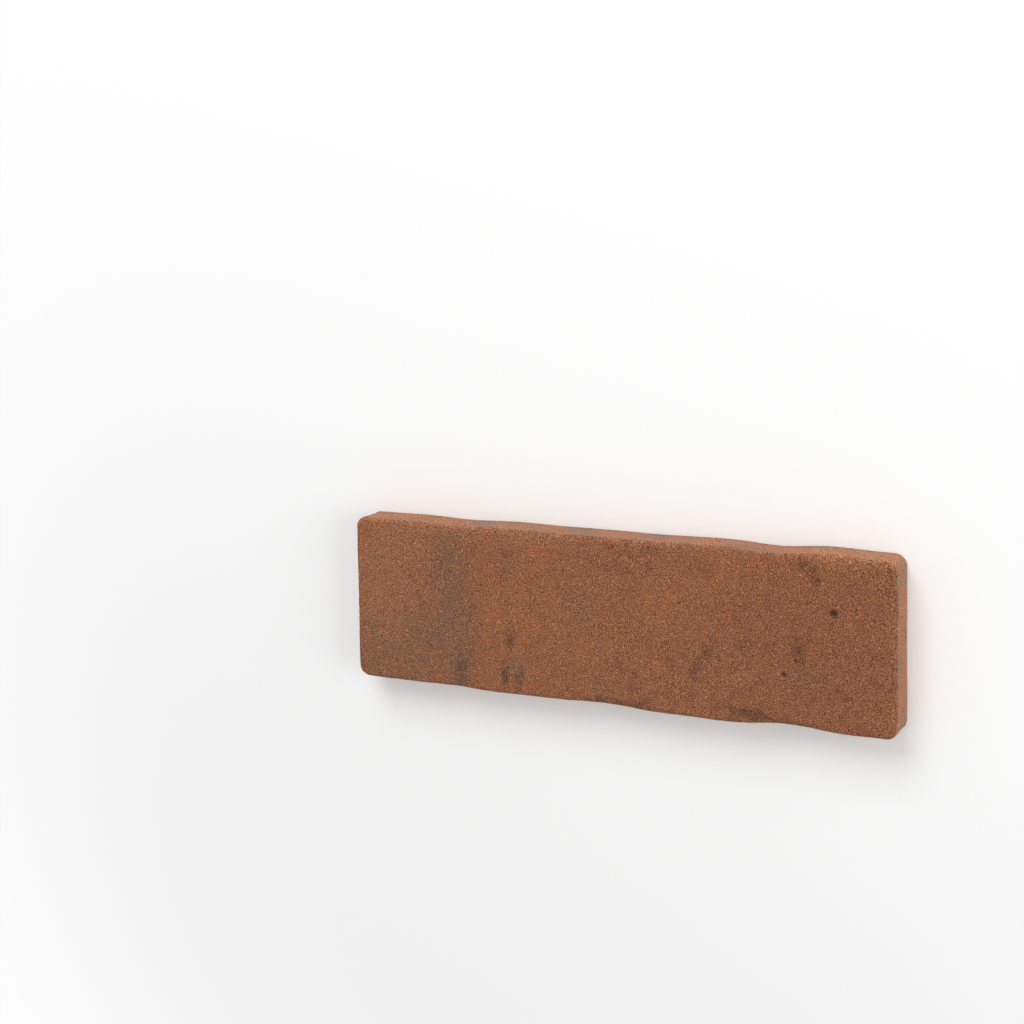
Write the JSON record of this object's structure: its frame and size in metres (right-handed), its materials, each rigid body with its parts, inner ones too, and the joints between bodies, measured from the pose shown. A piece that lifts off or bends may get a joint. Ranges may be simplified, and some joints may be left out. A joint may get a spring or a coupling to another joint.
{
  "type": "brick slip",
  "caption": "Thin fired-clay brick veneer slip with a sand-textured face, soft worn arrises, gently wavy edges and a flat bonding back.",
  "frame": {"origin": "middle of the flat bonding back", "axes": "+X along the slip's length, +Y across it towards the long edge that is uppermost in a wall, +Z out of the face"},
  "size_m": [0.215, 0.065, 0.015],
  "materials": {
    "fired_clay": "matt sand-textured fired clay, red-brown with grey flashing"
  },
  "bodies": {
    "root": {"brick_slip": "fired_clay"}
  },
  "joints": []
}
